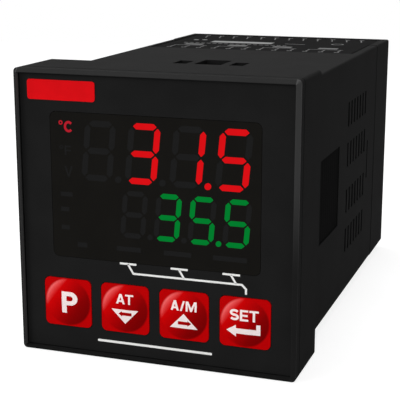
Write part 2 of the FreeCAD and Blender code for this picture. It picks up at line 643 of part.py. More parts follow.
def make_status_light_guide():
    """The frame of light cells that fills the window beside and below the two displays."""
    body = add_body("status_light_guide")
    middle = f"({PROCESS_LEFT} - guide_gap + {GUIDE_LEFT}) / 2"
    width = f"({PROCESS_LEFT} - guide_gap - {GUIDE_LEFT})"
    column = (width, "window_height - 2 * guide_margin")
    prism(body, "Pad", "column", "Y", LAMP_FRONT, LAMP_DEPTH, (middle, "window_level"), column)
    height = f"({SETPOINT_BOTTOM} - guide_gap - {GUIDE_BOTTOM})"
    place = ("0", f"({SETPOINT_BOTTOM} - guide_gap + {GUIDE_BOTTOM}) / 2")
    row = ("window_width - 2 * guide_margin", height)
    prism(body, "Pad", "row", "Y", LAMP_FRONT, LAMP_DEPTH, place, row)
    width = f"({SETPOINT_LEFT} - guide_gap - {GUIDE_LEFT})"
    height = f"({PROCESS_BOTTOM} - guide_gap - {GUIDE_BOTTOM})"
    place = (f"({GUIDE_LEFT} + {width} / 2)", f"({GUIDE_BOTTOM} + {height} / 2)")
    prism(body, "Pad", "block", "Y", LAMP_FRONT, LAMP_DEPTH, place, (width, height))

    cell = ("guide_cell", "guide_cell")
    place = (middle, f"({WINDOW_BOTTOM} + guide_column_bottom)")
    first = prism(body, "Pocket", "column_cell", "Y", LAMP_FRONT, LAMP_DEPTH, place, cell)
    pitch = "(window_height - guide_column_bottom - guide_column_top) / (guide_column_cells - 1)"
    repeat(body, "column_cells", [first], "Z", pitch, "guide_column_cells")
    place = ("(guide_row_left - window_width / 2)", f"({WINDOW_BOTTOM} + guide_row_rise)")
    first = prism(body, "Pocket", "row_cell", "Y", LAMP_FRONT, LAMP_DEPTH, place, cell)
    pitch = "(window_width - guide_row_left - guide_row_right) / (guide_row_cells - 1)"
    repeat(body, "row_cells", [first], "X", pitch, "guide_row_cells")
    return body


def make_panel_gasket():
    body = add_body("panel_gasket")
    ring = add_sketch(body, "ring_outline", "Y", "(-gasket_thickness)", CENTRE)
    outer = ("(body_width + 2 * gasket_width)", "(body_height + 2 * gasket_width)")
    draw_rounded_rectangle(ring, *outer, "(body_corner + gasket_width)")
    draw_rounded_rectangle(ring, "body_width", "body_height", "body_corner")
    extrude(body, "Pad", "ring", ring, "Y", "gasket_thickness")
    return body


# ---------------------------------------------------------------- housing
def make_housing():
    body = add_body("housing")
    outline = ("body_width", "body_height")
    length = "sleeve_entry + body_length"
    prism(body, "Pad", "sleeve", "Y", SLEEVE_FRONT, length, CENTRE, outline, "body_corner")
    tail = ("body_width + 2 * tail_step", "body_height + 2 * tail_step")
    prism(body, "Pad", "tail", "Y", "body_length", "tail_length", CENTRE, tail, "body_corner")
    cavity = (INNER_WIDTH, INNER_HEIGHT)
    length = "sleeve_entry + body_length + tail_length"
    prism(body, "Pocket", "cavity", "Y", SLEEVE_FRONT, length, CENTRE, cavity)
    seat = (f"{INNER_WIDTH} + 2 * panel_ledge", f"{INNER_HEIGHT} + 2 * panel_ledge")
    prism(body, "Pocket", "panel_seat", "Y", PANEL_FRONT, "panel_thickness + panel_inset", CENTRE, seat)
    add_clamp_sockets(body)
    add_side_grips(body)
    cut_vents(body)
    latch = ("latch_width", "latch_height")
    side = "(body_width / 2)"
    prism(body, "Pocket", "latch_slots", "X", f"-1 * {side}", "body_width", ("latch_distance", "0"), latch)
    add_board_rails(body)
    catch = ("catch_length", "catch_width")
    place = ("0", "-catch_setback")
    top_catch = prism(body, "Pad", "catch", "Z", f"({TOP} - wall)", "wall + catch_depth", place, catch)
    mirror(body, "catches", [top_catch], "XY_Plane")
    recess = ("label_width + 2 * label_gap", "label_length + 2 * label_gap")
    place = ("label_offset", f"({BACK_EDGE} - label_setback - label_length / 2)")
    floor = f"({TOP} - label_recess)"
    prism(body, "Pocket", "label_seat", "Z", floor, "label_recess + tail_step", place, recess)
    return body


def add_clamp_sockets(body):
    """A thicker patch inside the top and bottom walls, with three blind slots for a panel clamp."""
    patch = (
        "2 * clamp_side_offset + clamp_side_width + 2 * clamp_wall",
        "clamp_middle_length + 2 * clamp_wall",
    )
    middle = ("0", "(clamp_start + clamp_middle_length / 2)")
    start = f"({TOP} - clamp_depth - clamp_wall)"
    depth = "clamp_depth + clamp_wall - wall / 2"
    thick = prism(body, "Pad", "clamp_patch", "Z", start, depth, middle, patch)
    floor = f"({TOP} - clamp_depth)"
    size = ("clamp_middle_width", "clamp_middle_length")
    wide = prism(body, "Pocket", "clamp_slot", "Z", floor, "clamp_depth", middle, size)
    slots = add_sketch(body, "clamp_side_slots_outline", "Z", floor, ("0", "clamp_start"))
    end = "clamp_side_length"
    for side in (-1, 1):
        left = f"({side} * clamp_side_offset - clamp_side_width / 2)"
        right = f"({side} * clamp_side_offset + clamp_side_width / 2)"
        draw_polygon(slots, [(left, "0"), (right, "0"), (right, end), (left, end)])
    narrow = extrude(body, "Pocket", "clamp_side_slots", slots, "Z", "clamp_depth")
    mirror(body, "clamp_sockets", [thick, wide, narrow], "XY_Plane")


def add_side_grips(body):
    """A recess in each side with a rack of ratchet teeth, whose steep faces look to the rear."""
    recess = ("grip_length", "grip_height")
    place = ("(grip_start + grip_length / 2)", "0")
    start = "(body_width / 2 - grip_depth)"
    side = prism(body, "Pocket", "grip_recess", "X", start, "grip_depth", place, recess)
    mirror(body, "grip_recesses", [side], "YZ_Plane")
    first = "(grip_start + (grip_length - tooth_count * tooth_pitch) / 2)"
    tooth = add_sketch(body, "tooth_outline", "Z", "(-grip_height / 2)", (start, first))
    draw_polygon(tooth, [("0", "0"), ("tooth_height", "tooth_pitch"), ("0", "tooth_pitch")])
    rack = extrude(body, "Pad", "tooth", tooth, "Z", "grip_height")
    repeat_and_mirror(body, "teeth", [rack], "Y", "tooth_pitch", "tooth_count", "YZ_Plane")


def cut_vents(body):
    """Four rows of slots, one above the other, through both side walls."""
    slot = ("vent_width", "vent_height")
    start = "(-1 * (body_width / 2))"
    rows = []
    for level in ("vent_inner_level", "vent_outer_level"):
        place = ("(vent_start + vent_width / 2)", level)
        rows.append(prism(body, "Pocket", f"{level[:-6]}_slot", "X", start, "body_width", place, slot))
    repeat_and_mirror(body, "vents", rows, "Y", "vent_pitch", "vent_count", "XY_Plane")


def add_board_rails(body):
    """Ribs on both faces of each side board, inside the top and bottom walls."""
    rails = []
    for name, away in (("outer", "1"), ("inner", "-1")):
        offset = f"(side_board_offset + {away} * (board_thickness / 2 + rail_gap + rail_width / 2))"
        place = (offset, f"({TOP} - wall - rail_height / 2 + rail_gap / 2)")
        size = ("rail_width", "rail_height + rail_gap")
        rails.append(prism(body, "Pad", f"{name}_rail", "Y", "rail_start", "rail_length", place, size))
    both = body.newObject("PartDesign::MultiTransform", "rails")
    both.Originals = rails
    sideways = body.newObject("PartDesign::Mirrored", "rails_sideways")
    sideways.MirrorPlane = (origin_feature(body, "YZ_Plane"), [""])
    downwards = body.newObject("PartDesign::Mirrored", "rails_downwards")
    downwards.MirrorPlane = (origin_feature(body, "XY_Plane"), [""])
    both.Transformations = [sideways, downwards]
    body.Tip = both


def make_wiring_label():
    body = add_body("wiring_label")
    place = ("label_offset", f"({BACK_EDGE} - label_setback - label_length / 2)")
    size = ("label_width", "label_length")
    prism(body, "Pad", "plate", "Z", f"({TOP} - label_recess)", "label_thickness", place, size)
    return body


# ---------------------------------------------------------------- rear
def make_rear_panel():
    """The rear panel, with a window for each terminal block and a snap arm along each side wall."""
    body = add_body("rear_panel")
    size = tuple(f"{inner} + 2 * (panel_ledge - panel_gap)" for inner in (INNER_WIDTH, INNER_HEIGHT))
    prism(body, "Pad", "plate", "Y", PANEL_FRONT, "panel_thickness", CENTRE, size)
    window = (f"{TERMINAL_WIDTH} + 2 * terminal_gap", "terminal_height + 2 * terminal_gap")
    place = ("0", "terminal_level")
    upper = prism(body, "Pocket", "block_window", "Y", PANEL_FRONT, "panel_thickness", place, window)
    mirror(body, "block_windows", [upper], "XY_Plane")

    height = "(latch_height - 2 * latch_gap)"
    face = f"({INNER_WIDTH} / 2 - arm_gap)"
    nose_width = "(latch_width - 2 * latch_gap)"
    reach = f"({PANEL_FRONT} - latch_distance + {nose_width} / 2)"
    place = (f"({PANEL_FRONT} - {reach} / 2)", "0")
    start = f"({face} - arm_thickness)"
    arm = prism(body, "Pad", "arm", "X", start, "arm_thickness", place, (reach, height))
    nose = (nose_width, height)
    place = ("latch_distance", "0")
    catch = prism(body, "Pad", "nose", "X", face, "arm_gap + nose_rise", place, nose)
    mirror(body, "arms", [arm, catch], "YZ_Plane")
    return body


def make_terminal_block(label, side):
    """A barrier block: twelve bays, open to the rear and on the side away from the middle."""
    body = add_body(label)
    level = f"({side} * terminal_level)"
    size = (TERMINAL_WIDTH, "terminal_height")
    length = f"{TERMINAL_BACK} - {TERMINAL_FRONT}"
    prism(body, "Pad", "block", "Y", TERMINAL_FRONT, length, ("0", level), size)
    place = (FIRST_TERMINAL, f"({level} + {side} * bay_back_wall / 2)")
    bay = prism(body, "Pocket", "bay", "Y", BAY_FLOOR, "bay_depth", place, (BAY_WIDTH, BAY_HEIGHT))
    length = f"{BAY_FLOOR} - {TERMINAL_FRONT}"
    place = (FIRST_TERMINAL, f"({level} - {side} * contact_pin_offset)")
    pin = ("pin_width", "pin_width")
    slot = prism(body, "Pocket", "pin_hole", "Y", TERMINAL_FRONT, length, place, pin)
    repeat(body, "bays", [bay, slot], "X", "terminal_pitch", "terminal_count")
    return body


def make_terminal_contacts():
    """A plate in each bay, with a pin down to the terminal board."""
    body = add_body("terminal_contacts")
    size = (f"{BAY_WIDTH} - 2 * contact_gap", "contact_height")
    place = (FIRST_TERMINAL, "(terminal_level + bay_back_wall / 2)")
    plate = prism(body, "Pad", "plate", "Y", BAY_FLOOR, "contact_thickness", place, size)
    place = (FIRST_TERMINAL, "(terminal_level - contact_pin_offset)")
    pin = ("pin_width", "pin_width")
    length = f"{BAY_FLOOR} - terminal_board_distance"
    tail = prism(body, "Pad", "pin", "Y", "terminal_board_distance", length, place, pin)
    features = [plate, tail]
    repeat_and_mirror(body, "contacts", features, "X", "terminal_pitch", "terminal_count", "XY_Plane")
    return body


def make_terminal_screws():
    """The slotted heads that clamp a wire on each contact plate."""
    body = add_body("terminal_screws")
    place = (FIRST_TERMINAL, "(terminal_level + contact_screw_offset)")
    seat = f"({BAY_FLOOR} + contact_thickness)"
    head = disc(body, "Pad", "head", "Y", seat, "terminal_head_height", place, "terminal_head_radius")
    slot = ("2 * terminal_head_radius", "slot_width")
    start = f"({seat} + terminal_head_height - slot_depth)"
    cut = prism(body, "Pocket", "slot", "Y", start, "slot_depth", place, slot)
    repeat_and_mirror(body, "screws", [head, cut], "X", "terminal_pitch", "terminal_count", "XY_Plane")
    return body


def make_terminal_board():
    body = add_body("terminal_board")
    size = ("terminal_board_width", BOARD_HEIGHT)
    prism(body, "Pad", "plate", "Y", "terminal_board_distance", "board_thickness", CENTRE, size)
    place = (FIRST_TERMINAL, "(terminal_level - contact_pin_offset)")
    pin = ("pin_width", "pin_width")
    hole = prism(body, "Pocket", "pin_hole", "Y", "terminal_board_distance", "board_thickness", place, pin)
    repeat_and_mirror(body, "pin_holes", [hole], "X", "terminal_pitch", "terminal_count", "XY_Plane")
    return body


# ---------------------------------------------------------------- electronics
def make_side_board(label, side):
    """A board that stands upright between the display board and the terminal board."""
    body = add_body(label)
    place = (f"(terminal_board_distance + {BOARD_BACK}) / 2", "0")
    size = (f"(terminal_board_distance - {BOARD_BACK})", BOARD_HEIGHT)
    start = f"({side} * side_board_offset - board_thickness / 2)"
    prism(body, "Pad", "plate", "X", start, "board_thickness", place, size)
    return body


def make_header(label, side, start):
    """The plug strip between a side board and the board that it meets."""
    body = add_body(label)
    place = (f"({side} * ({BOARD_FACE} - header_width / 2))", "0")
    prism(body, "Pad", "strip", "Y", start, "header_depth", place, ("header_width", "header_height"))
    return body


def make_transformer_core():
    """A shell-type core of stacked sheets, with a window on each side of its middle leg."""
    body = add_body("transformer_core")
    start = "(transformer_level - core_width / 2)"
    place = (f"({BOARD_FACE} - core_height / 2)", "transformer_distance")
    prism(body, "Pad", "stack", "Z", start, "core_width", place, ("core_height", "core_length"))
    gap = "(core_length / 2 - core_outer_leg - core_middle_leg / 2)"
    window = ("core_height - 2 * core_yoke", gap)
    for name, side in (("front", "-1"), ("rear", "1")):
        along = f"(transformer_distance + {side} * (core_middle_leg + {gap}) / 2)"
        prism(body, "Pocket", f"{name}_window", "Z", start, "core_width", (place[0], along), window)
    return body


def make_transformer_winding():
    """The wound bobbin round the middle leg of the core."""
    body = add_body("transformer_winding")
    build = "(core_length / 2 - core_outer_leg - core_middle_leg / 2 - winding_gap)"
    start = f"({BOARD_FACE} - core_height + core_yoke + winding_gap)"
    length = "core_height - 2 * core_yoke - 2 * winding_gap"
    place = ("transformer_distance", "transformer_level")
    size = (f"core_middle_leg + 2 * {build}", f"core_width + 2 * {build}")
    prism(body, "Pad", "winding", "X", start, length, place, size, "winding_corner")
    prism(body, "Pocket", "bore", "X", start, length, place, ("core_middle_leg", "core_width"))
    return body


def make_relay(index):
    body = add_body(f"output_relay_{index + 1}")
    place = ("relay_distance", f"({index - 1} * relay_pitch)")
    size = ("relay_length", "relay_width")
    start = f"({BOARD_FACE} - relay_height)"
    prism(body, "Pad", "case", "X", start, "relay_height", place, size, "relay_corner")
    return body


def make_capacitor(label, kind, level):
    """A capacitor can that stands on the power board, with a bevelled rim."""
    body = add_body(label)
    start = f"({BOARD_FACE} - {kind}_capacitor_height)"
    place = (f"{kind}_capacitor_distance", level)
    radius = f"{kind}_capacitor_radius"
    can = disc(body, "Pad", "can", "X", start, f"{kind}_capacitor_height", place, radius)
    doc.recompute()
    rim = min(range(len(can.Shape.Edges)), key=lambda index: can.Shape.Edges[index].BoundBox.XMax)
    edge = body.newObject("PartDesign::Chamfer", "rim")
    edge.Base = (can, [f"Edge{rim + 1}"])
    bind(edge, "Size", "can_edge")
    body.Tip = edge
    return body


def make_processor_chip():
    body = add_body("processor_chip")
    start = f"(-1 * {BOARD_FACE})"
    size = ("chip_size", "chip_size")
    prism(body, "Pad", "case", "X", start, "chip_height", ("chip_distance", "0"), size)
    return body


# ---------------------------------------------------------------- all the sub-parts
PROCESS_CASE = (
    (f"({PROCESS_LEFT} + {PROCESS_WIDTH} / 2)", f"({PROCESS_BOTTOM} + process_height / 2)"),
    (PROCESS_WIDTH, "process_height"),
)
SETPOINT_CASE = (
    (f"({SETPOINT_LEFT} + {SETPOINT_WIDTH} / 2)", f"({SETPOINT_BOTTOM} + setpoint_height / 2)"),
    (SETPOINT_WIDTH, "setpoint_height"),
)
REAR_HEADER = "(terminal_board_distance - header_depth)"

sub_parts = [make_bezel(), make_front_overlay(), make_display_window()]
sub_parts += [make_key(index, name) for index, name in enumerate(KEYS)]
sub_parts += [make_plunger(index, name) for index, name in enumerate(KEYS)]
sub_parts += [make_tact_switches(), make_display_board(), make_board_screws()]
sub_parts += [make_display("process_display", *PROCESS_CASE)]
sub_parts += [make_display("setpoint_display", *SETPOINT_CASE)]
sub_parts += [make_status_light_guide(), make_panel_gasket()]
sub_parts += [make_housing(), make_wiring_label(), make_rear_panel()]
sub_parts += [make_terminal_block("upper_terminals", "1"), make_terminal_block("lower_terminals", "-1")]
sub_parts += [make_terminal_contacts(), make_terminal_screws(), make_terminal_board()]
sub_parts += [make_side_board("cpu_board", "-1"), make_side_board("power_board", "1")]
for hand, side in (("left", "-1"), ("right", "1")):
    sub_parts += [make_header(f"front_{hand}_header", side, BOARD_BACK)]
    sub_parts += [make_header(f"rear_{hand}_header", side, REAR_HEADER)]
sub_parts += [make_transformer_core(), make_transformer_winding()]
sub_parts += [make_relay(index) for index in range(3)]
sub_parts += [make_capacitor("mains_capacitor", "mains", "mains_capacitor_level")]
for index in range(2):
    level = f"(output_capacitor_level - {index} * output_capacitor_pitch)"
    sub_parts += [make_capacitor(f"output_capacitor_{index + 1}", "output", level)]
sub_parts += [make_processor_chip()]

doc.recompute()
failed = [item.Label for item in doc.Objects if {"Invalid", "Error"} & set(item.State)]
failed += [part.Label for part in sub_parts if part.Shape.isNull() or not part.Shape.isValid()]
if failed:
    raise RuntimeError("not built: " + ", ".join(failed))

os.makedirs("parts", exist_ok=True)
for part in sub_parts:
    part.Shape.exportStep(f"parts/{part.Label}.step")
print(f"{len(sub_parts)} sub-parts, {sum(len(part.Shape.Solids) for part in sub_parts)} solids")
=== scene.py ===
"""Looks of the panel-mount temperature controller: materials, print, lit digits, light and camera.

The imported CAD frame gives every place. Lengths here are in millimetres; MM turns them into metres.
"""
import json
import math

import bmesh
import bpy
from mathutils import Matrix, Vector
from mathutils.bvhtree import BVHTree


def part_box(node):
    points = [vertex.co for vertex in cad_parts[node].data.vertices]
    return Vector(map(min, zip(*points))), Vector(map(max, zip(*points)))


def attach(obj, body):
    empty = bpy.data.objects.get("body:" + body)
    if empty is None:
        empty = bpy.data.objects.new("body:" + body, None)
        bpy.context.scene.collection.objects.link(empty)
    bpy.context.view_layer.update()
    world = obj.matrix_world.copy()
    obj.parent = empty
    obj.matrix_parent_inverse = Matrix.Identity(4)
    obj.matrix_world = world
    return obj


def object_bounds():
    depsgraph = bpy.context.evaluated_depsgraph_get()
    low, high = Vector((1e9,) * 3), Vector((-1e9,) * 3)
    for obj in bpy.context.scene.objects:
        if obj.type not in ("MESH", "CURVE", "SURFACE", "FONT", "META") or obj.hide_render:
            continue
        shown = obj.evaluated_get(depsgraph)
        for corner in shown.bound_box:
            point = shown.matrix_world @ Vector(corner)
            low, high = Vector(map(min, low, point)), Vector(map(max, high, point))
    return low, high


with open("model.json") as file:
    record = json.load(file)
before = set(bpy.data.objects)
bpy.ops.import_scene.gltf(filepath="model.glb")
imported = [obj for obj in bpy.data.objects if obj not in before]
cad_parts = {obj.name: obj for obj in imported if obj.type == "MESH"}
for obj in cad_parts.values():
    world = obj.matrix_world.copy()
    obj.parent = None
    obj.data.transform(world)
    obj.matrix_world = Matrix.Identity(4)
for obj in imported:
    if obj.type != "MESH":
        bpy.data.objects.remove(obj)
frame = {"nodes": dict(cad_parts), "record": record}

cad_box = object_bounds()

# ---------------------------------------------------------------- places from the frame, in mm
MM = 0.001
BACK = Vector((0, 1, 0))
DOWN = Vector((0, 0, -1))


def node_box(node):
    """The lowest and highest corners of a CAD node at rest, in mm."""
    return tuple(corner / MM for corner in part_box(node))


# The front film, and the rim's inner edge a gap beside it.
OVERLAY_LOW, OVERLAY_HIGH = node_box("front_overlay")
FACE = OVERLAY_LOW.y
OVERLAY_GAP = 0.25
RIM = OVERLAY_HIGH.x + OVERLAY_GAP

# The red plate: from the film's left and top edges, and its size.
BADGE_SIDE = 2.09
BADGE_TOP = 1.39
BADGE_WIDTH = 17.9
BADGE_HEIGHT = 4.9

# The lines under the three status lamps: their middles, level and half length.
STATUS_LAMPS = (-6.8, 6.5, 19.65)
STATUS_LEVEL = -11.05
STATUS_HALF = 2.18

# The left edge of the signs and lamps beside the digits.
SIGNS_LEFT = -24.45

# The keys, and the radius of the ball of painted shade and light on each.
KEY_CENTRES = {key: sum(node_box(f"key_{key}"), Vector()) / 2 for key in ("p", "at", "am", "set")}
KEY_PITCH = KEY_CENTRES["at"].x - KEY_CENTRES["p"].x
KEY_BALL = 6.0

# The top label, the place of its first contact from its left edge, and the contacts' pitch.
LABEL_LOW, label_high = node_box("wiring_label")
LABEL_SIZE = label_high - LABEL_LOW
LABEL_START = 5
LABEL_PITCH = 4.75

# The recesses in the housing's sides: how far out the side lies, the middle of a recess along Y and half
# its length, and the depth at which its painted shade is darkest.
BODY_SIDE = 33.5
GRIP_MIDDLE = 23.35
GRIP_HALF = 11.3
GRIP_SHADE = 0.8

# Thicknesses: ink, ink of what is unlit, the red plate, and the air under a key's legend.
PRINT = 0.03
FAINT_PRINT = PRINT / 2
BADGE_THICKNESS = 0.2
LEGEND_LIFT = 0.01

# A legend is cut into squares of this size to follow its domed key.
LEGEND_GRID = 0.6

# Specular levels of the housing: plain, and what its bevel adds at the top, at the right all the way, and
# at the right as it rises from one height to another.
PLAIN_SHINE = 0.006
TOP_SHINE = 0.05
LOW_SHINE = 0.05
RIGHT_SHINE = 0.33
SHINE_START = -12
SHINE_END = 16

# The pitch of a board's copper lines and of the transformer's sheets, and a key's reds from painted shade to
# painted light.
TRACK_PITCH = 1.27
SHEET_PITCH = 0.5
BALL_PAINTED_SHADES = (
    (0.0, (120, 0, 2)),
    (0.25, (138, 0, 2)),
    (0.5, (172, 0, 3)),
    (0.8, (206, 2, 4)),
    (1.0, (222, 6, 8)),
)

# The seven bars of a digit that each sign lights.
SEGMENTS = {"3": "abcdg", "1": "bc", "5": "acdfg", " ": ""}

# The camera: place in metres, lens in millimetres, and how far it turns left and down, in degrees.
CAMERA_PLACE = (0.09656, -0.26123, 0.06860)
CAMERA_LENS = 101.12
CAMERA_LEFT = 19.245
CAMERA_DOWN = 13.574

# The lamps: place, what they point at and length of a side in metres, and power in watts.
LAMPS = (
    ("top_softbox", (-0.15, 0.05, 0.7), (0, 0.04, 0), 0.5, 6.5),
    ("left_softbox", (-0.6, -0.6, 0.3), (0, 0, 0), 0.4, 3.2),
    ("front_softbox", (0.1, -0.8, 0.2), (0, 0, 0), 0.3, 2.0),
    ("right_softbox", (0.8, -0.3, 0.1), (0, 0, 0), 0.3, 0.85),
)

# The strengths of the light from all round, of the white backdrop and of the floor's glow, and half the
# floor's width in metres.
WORLD_STRENGTH = 0.2
BACKDROP_STRENGTH = 1
FLOOR_GLOW = 0.85
FLOOR_REACH = 0.7


# ---------------------------------------------------------------- materials
def linear(value):
    """A channel from 0 to 255, as a screen shows it, turned into linear light."""
    share = value / 255
    return share / 12.92 if share <= 0.04045 else ((share + 0.055) / 1.055) ** 2.4


def colour(red, green, blue):
    """A colour in linear light from channels as a screen shows them."""
    return (linear(red), linear(green), linear(blue), 1)


def scaled(ink, share):
    """A colour with all its channels a share of what they were."""
    return tuple(share * channel for channel in ink[:3]) + (1,)


class Look:
    """A material with one Principled shader and short ways to put nodes in front of it."""

    def __init__(self, name, roughness, specular):
        self.material = bpy.data.materials.new(name)
        self.material.use_nodes = True
        self.nodes = self.material.node_tree.nodes
        self.links = self.material.node_tree.links
        self.shader = self.nodes["Principled BSDF"]
        self.shader.inputs["Roughness"].default_value = roughness
        self.shader.inputs["Specular IOR Level"].default_value = specular
        self.place = self.nodes.new("ShaderNodeTexCoord").outputs["Object"]

    def axes(self):
        """The X, Y and Z of the place on the piece, in metres."""
        node = self.nodes.new("ShaderNodeSeparateXYZ")
        self.links.new(self.place, node.inputs["Vector"])
        return node.outputs["X"], node.outputs["Y"], node.outputs["Z"]

    def paint(self, source):
        """The base colour comes from another node's output."""
        self.links.new(source, self.shader.inputs["Base Color"])

    def noise(self, size, detail=2.0):
        """A noise whose spots are about size mm across."""
        node = self.nodes.new("ShaderNodeTexNoise")
        node.inputs["Scale"].default_value = 1 / (size * MM)
        node.inputs["Detail"].default_value = detail
        self.links.new(self.place, node.inputs["Vector"])
        return node.outputs["Fac"]

    def ramp(self, source, stops):
        """A colour ramp through the stops, each a position and a colour."""
        node = self.nodes.new("ShaderNodeValToRGB")
        elements = node.color_ramp.elements
        elements[0].position, elements[0].color = stops[0]
        elements[1].position, elements[1].color = stops[-1]
        for position, stop in stops[1:-1]:
            elements.new(position).color = stop
        self.links.new(source, node.inputs["Fac"])
        return node.outputs["Color"]

    def tint(self, first, second, size):
        """The base colour wanders between two colours in spots about size mm across."""
        self.paint(self.ramp(self.noise(size), ((0.35, first), (0.65, second))))

    def grain(self, size, depth, detail=3.0):
        """Bumps about size mm across and depth mm deep."""
        bump = self.nodes.new("ShaderNodeBump")
        bump.inputs["Strength"].default_value = 1
        bump.inputs["Distance"].default_value = depth * MM
        self.links.new(self.noise(size, detail), bump.inputs["Height"])
        self.links.new(bump.outputs["Normal"], self.shader.inputs["Normal"])

    def maths(self, operation, *values):
        """A Math node; each value is a number or another node's output."""
        node = self.nodes.new("ShaderNodeMath")
        node.operation = operation
        for socket, value in zip(node.inputs, values):
            if isinstance(value, (int, float)):
                socket.default_value = value
            else:
                self.links.new(value, socket)
        return node.outputs["Value"]

    def rise(self, source, start, end):
        """0 as far as start and 1 from end on, both in mm, with a soft step between them."""
        node = self.nodes.new("ShaderNodeMapRange")
        node.interpolation_type = "SMOOTHSTEP"
        node.inputs["From Min"].default_value = start * MM
        node.inputs["From Max"].default_value = end * MM
        self.links.new(source, node.inputs["Value"])
        return node.outputs["Result"]

    def mix(self, share, first, second):
        """A mix of two colours; each is a colour or another node's output."""
        node = self.nodes.new("ShaderNodeMix")
        node.data_type = "RGBA"
        self.links.new(share, node.inputs["Factor"])
        for name, value in (("A", first), ("B", second)):
            if isinstance(value, tuple):
                node.inputs[name].default_value = value
            else:
                self.links.new(value, node.inputs[name])
        return node.outputs["Result"]


def moulded(name, ink, roughness=0.5, specular=0.3, grain=0.3, depth=0.01):
    """Moulded plastic, rubber or film: a faint cloud in its colour and a fine grain."""
    look = Look(name, roughness, specular)
    look.tint(scaled(ink, 0.94), scaled(ink, 1.06), 9)
    look.grain(grain, depth)
    return look.material


def bevel_shine(look, across, up, rim):
    """The polish of the bevel at the top and at the right, where it fades downwards."""
    right = look.rise(across, RIM - 0.1, RIM)
    fade = look.maths("MULTIPLY_ADD", look.rise(up, SHINE_START, SHINE_END), RIGHT_SHINE, LOW_SHINE)
    top = look.maths("MULTIPLY", look.rise(up, RIM - 0.1, RIM), TOP_SHINE)
    shine = look.maths("MAXIMUM", look.maths("MULTIPLY", right, fade), top)
    return look.maths("ADD", look.maths("MULTIPLY", shine, rim), PLAIN_SHINE)


def painted_lip_light(look, across, rim):
    """1 on the inner wall of the lip at the left, where light is painted."""
    inside = look.rise(across, -RIM + 0.1, -RIM + 0.02)
    outside = look.rise(across, -RIM - 0.06, -RIM - 0.01)
    return look.maths("MULTIPLY", look.maths("MULTIPLY", inside, outside), rim)


def painted_grip_shade(look, across, depth, up):
    """Painted shade: 0 at the sides of the housing, and nearly 1 in the valleys between the teeth of its
    grips.
    """
    sunk = look.rise(look.maths("ABSOLUTE", across), BODY_SIDE, BODY_SIDE - GRIP_SHADE)
    along = look.maths("COMPARE", depth, GRIP_MIDDLE * MM, GRIP_HALF * MM)
    beside = look.maths("COMPARE", up, 0, GRIP_HALF * MM)
    return look.maths("MULTIPLY", sunk, look.maths("MULTIPLY", along, beside))


def housing_plastic(name):
    """Black plastic: a polished bevel in front, painted light on the left lip's inner wall, painted shade in
    its grips.
    """
    look = Look(name, 0.75, PLAIN_SHINE)
    across, depth, up = look.axes()
    rim = look.rise(depth, FACE - 0.2, FACE - 0.5)
    look.links.new(bevel_shine(look, across, up, rim), look.shader.inputs["Specular IOR Level"])
    plain = look.ramp(look.noise(9), ((0.35, colour(27, 27, 27)), (0.65, colour(29, 29, 29))))
    # Painted light: the inner wall of the lip at the left is made lighter, as if lit.
    with_painted_lip_light = look.mix(painted_lip_light(look, across, rim), plain, colour(78, 78, 78))
    # Painted shade: the grips' recesses turn nearly black as they sink.
    look.paint(look.mix(painted_grip_shade(look, across, depth, up), with_painted_lip_light, colour(8, 8, 8)))
    look.grain(0.3, 0.01)
    return look.material


def metal(name, ink, roughness):
    """Metal with a faintly uneven tone and fine drawing marks."""
    look = Look(name, roughness, 0.5)
    look.tint(scaled(ink, 0.88), ink, 2)
    look.shader.inputs["Metallic"].default_value = 1
    look.grain(0.15, 0.004)
    return look.material


def printed(name, ink, roughness=0.5, specular=0.1):
    """Ink with a faint cloud in it."""
    look = Look(name, roughness, specular)
    look.tint(scaled(ink, 0.95), ink, 3)
    return look.material


def lit(name, ink):
    """A segment that glows in its own colour and is nearly black without its light."""
    look = Look(name, 0.5, 0.01)
    look.tint(scaled(ink, 0.06), scaled(ink, 0.1), 3)
    look.shader.inputs["Emission Color"].default_value = ink
    look.shader.inputs["Emission Strength"].default_value = 0.95
    return look.material


def laminated_board(name):
    """Green circuit board with the lighter lines of its copper under the lacquer."""
    look = Look(name, 0.4, 0.4)
    up = look.maths("MULTIPLY", look.axes()[2], 1 / (TRACK_PITCH * MM))
    bend = look.maths("MULTIPLY", look.noise(12, 0), 5)
    track = look.maths("PINGPONG", look.maths("ADD", up, bend), 0.5)
    look.paint(look.ramp(track, ((0.25, colour(16, 66, 38)), (0.3, colour(26, 92, 54)))))
    look.grain(1.5, 0.02)
    return look.material


def stacked_sheets(name):
    """Transformer sheets, one above the other."""
    look = Look(name, 0.45, 0.5)
    up = look.maths("MULTIPLY", look.axes()[2], 1 / (SHEET_PITCH * MM))
    sheet = look.maths("PINGPONG", up, 0.5)
    look.paint(look.ramp(sheet, ((0.05, colour(60, 60, 64)), (0.2, colour(112, 112, 118)))))
    look.shader.inputs["Metallic"].default_value = 1
    look.grain(0.4, 0.01)
    return look.material


def tilted(look, across, up, right, upwards):
    """How far a place lies in a direction, given by its share to the right and its share upwards."""
    return look.maths("ADD", look.maths("MULTIPLY", across, right), look.maths("MULTIPLY", up, upwards))


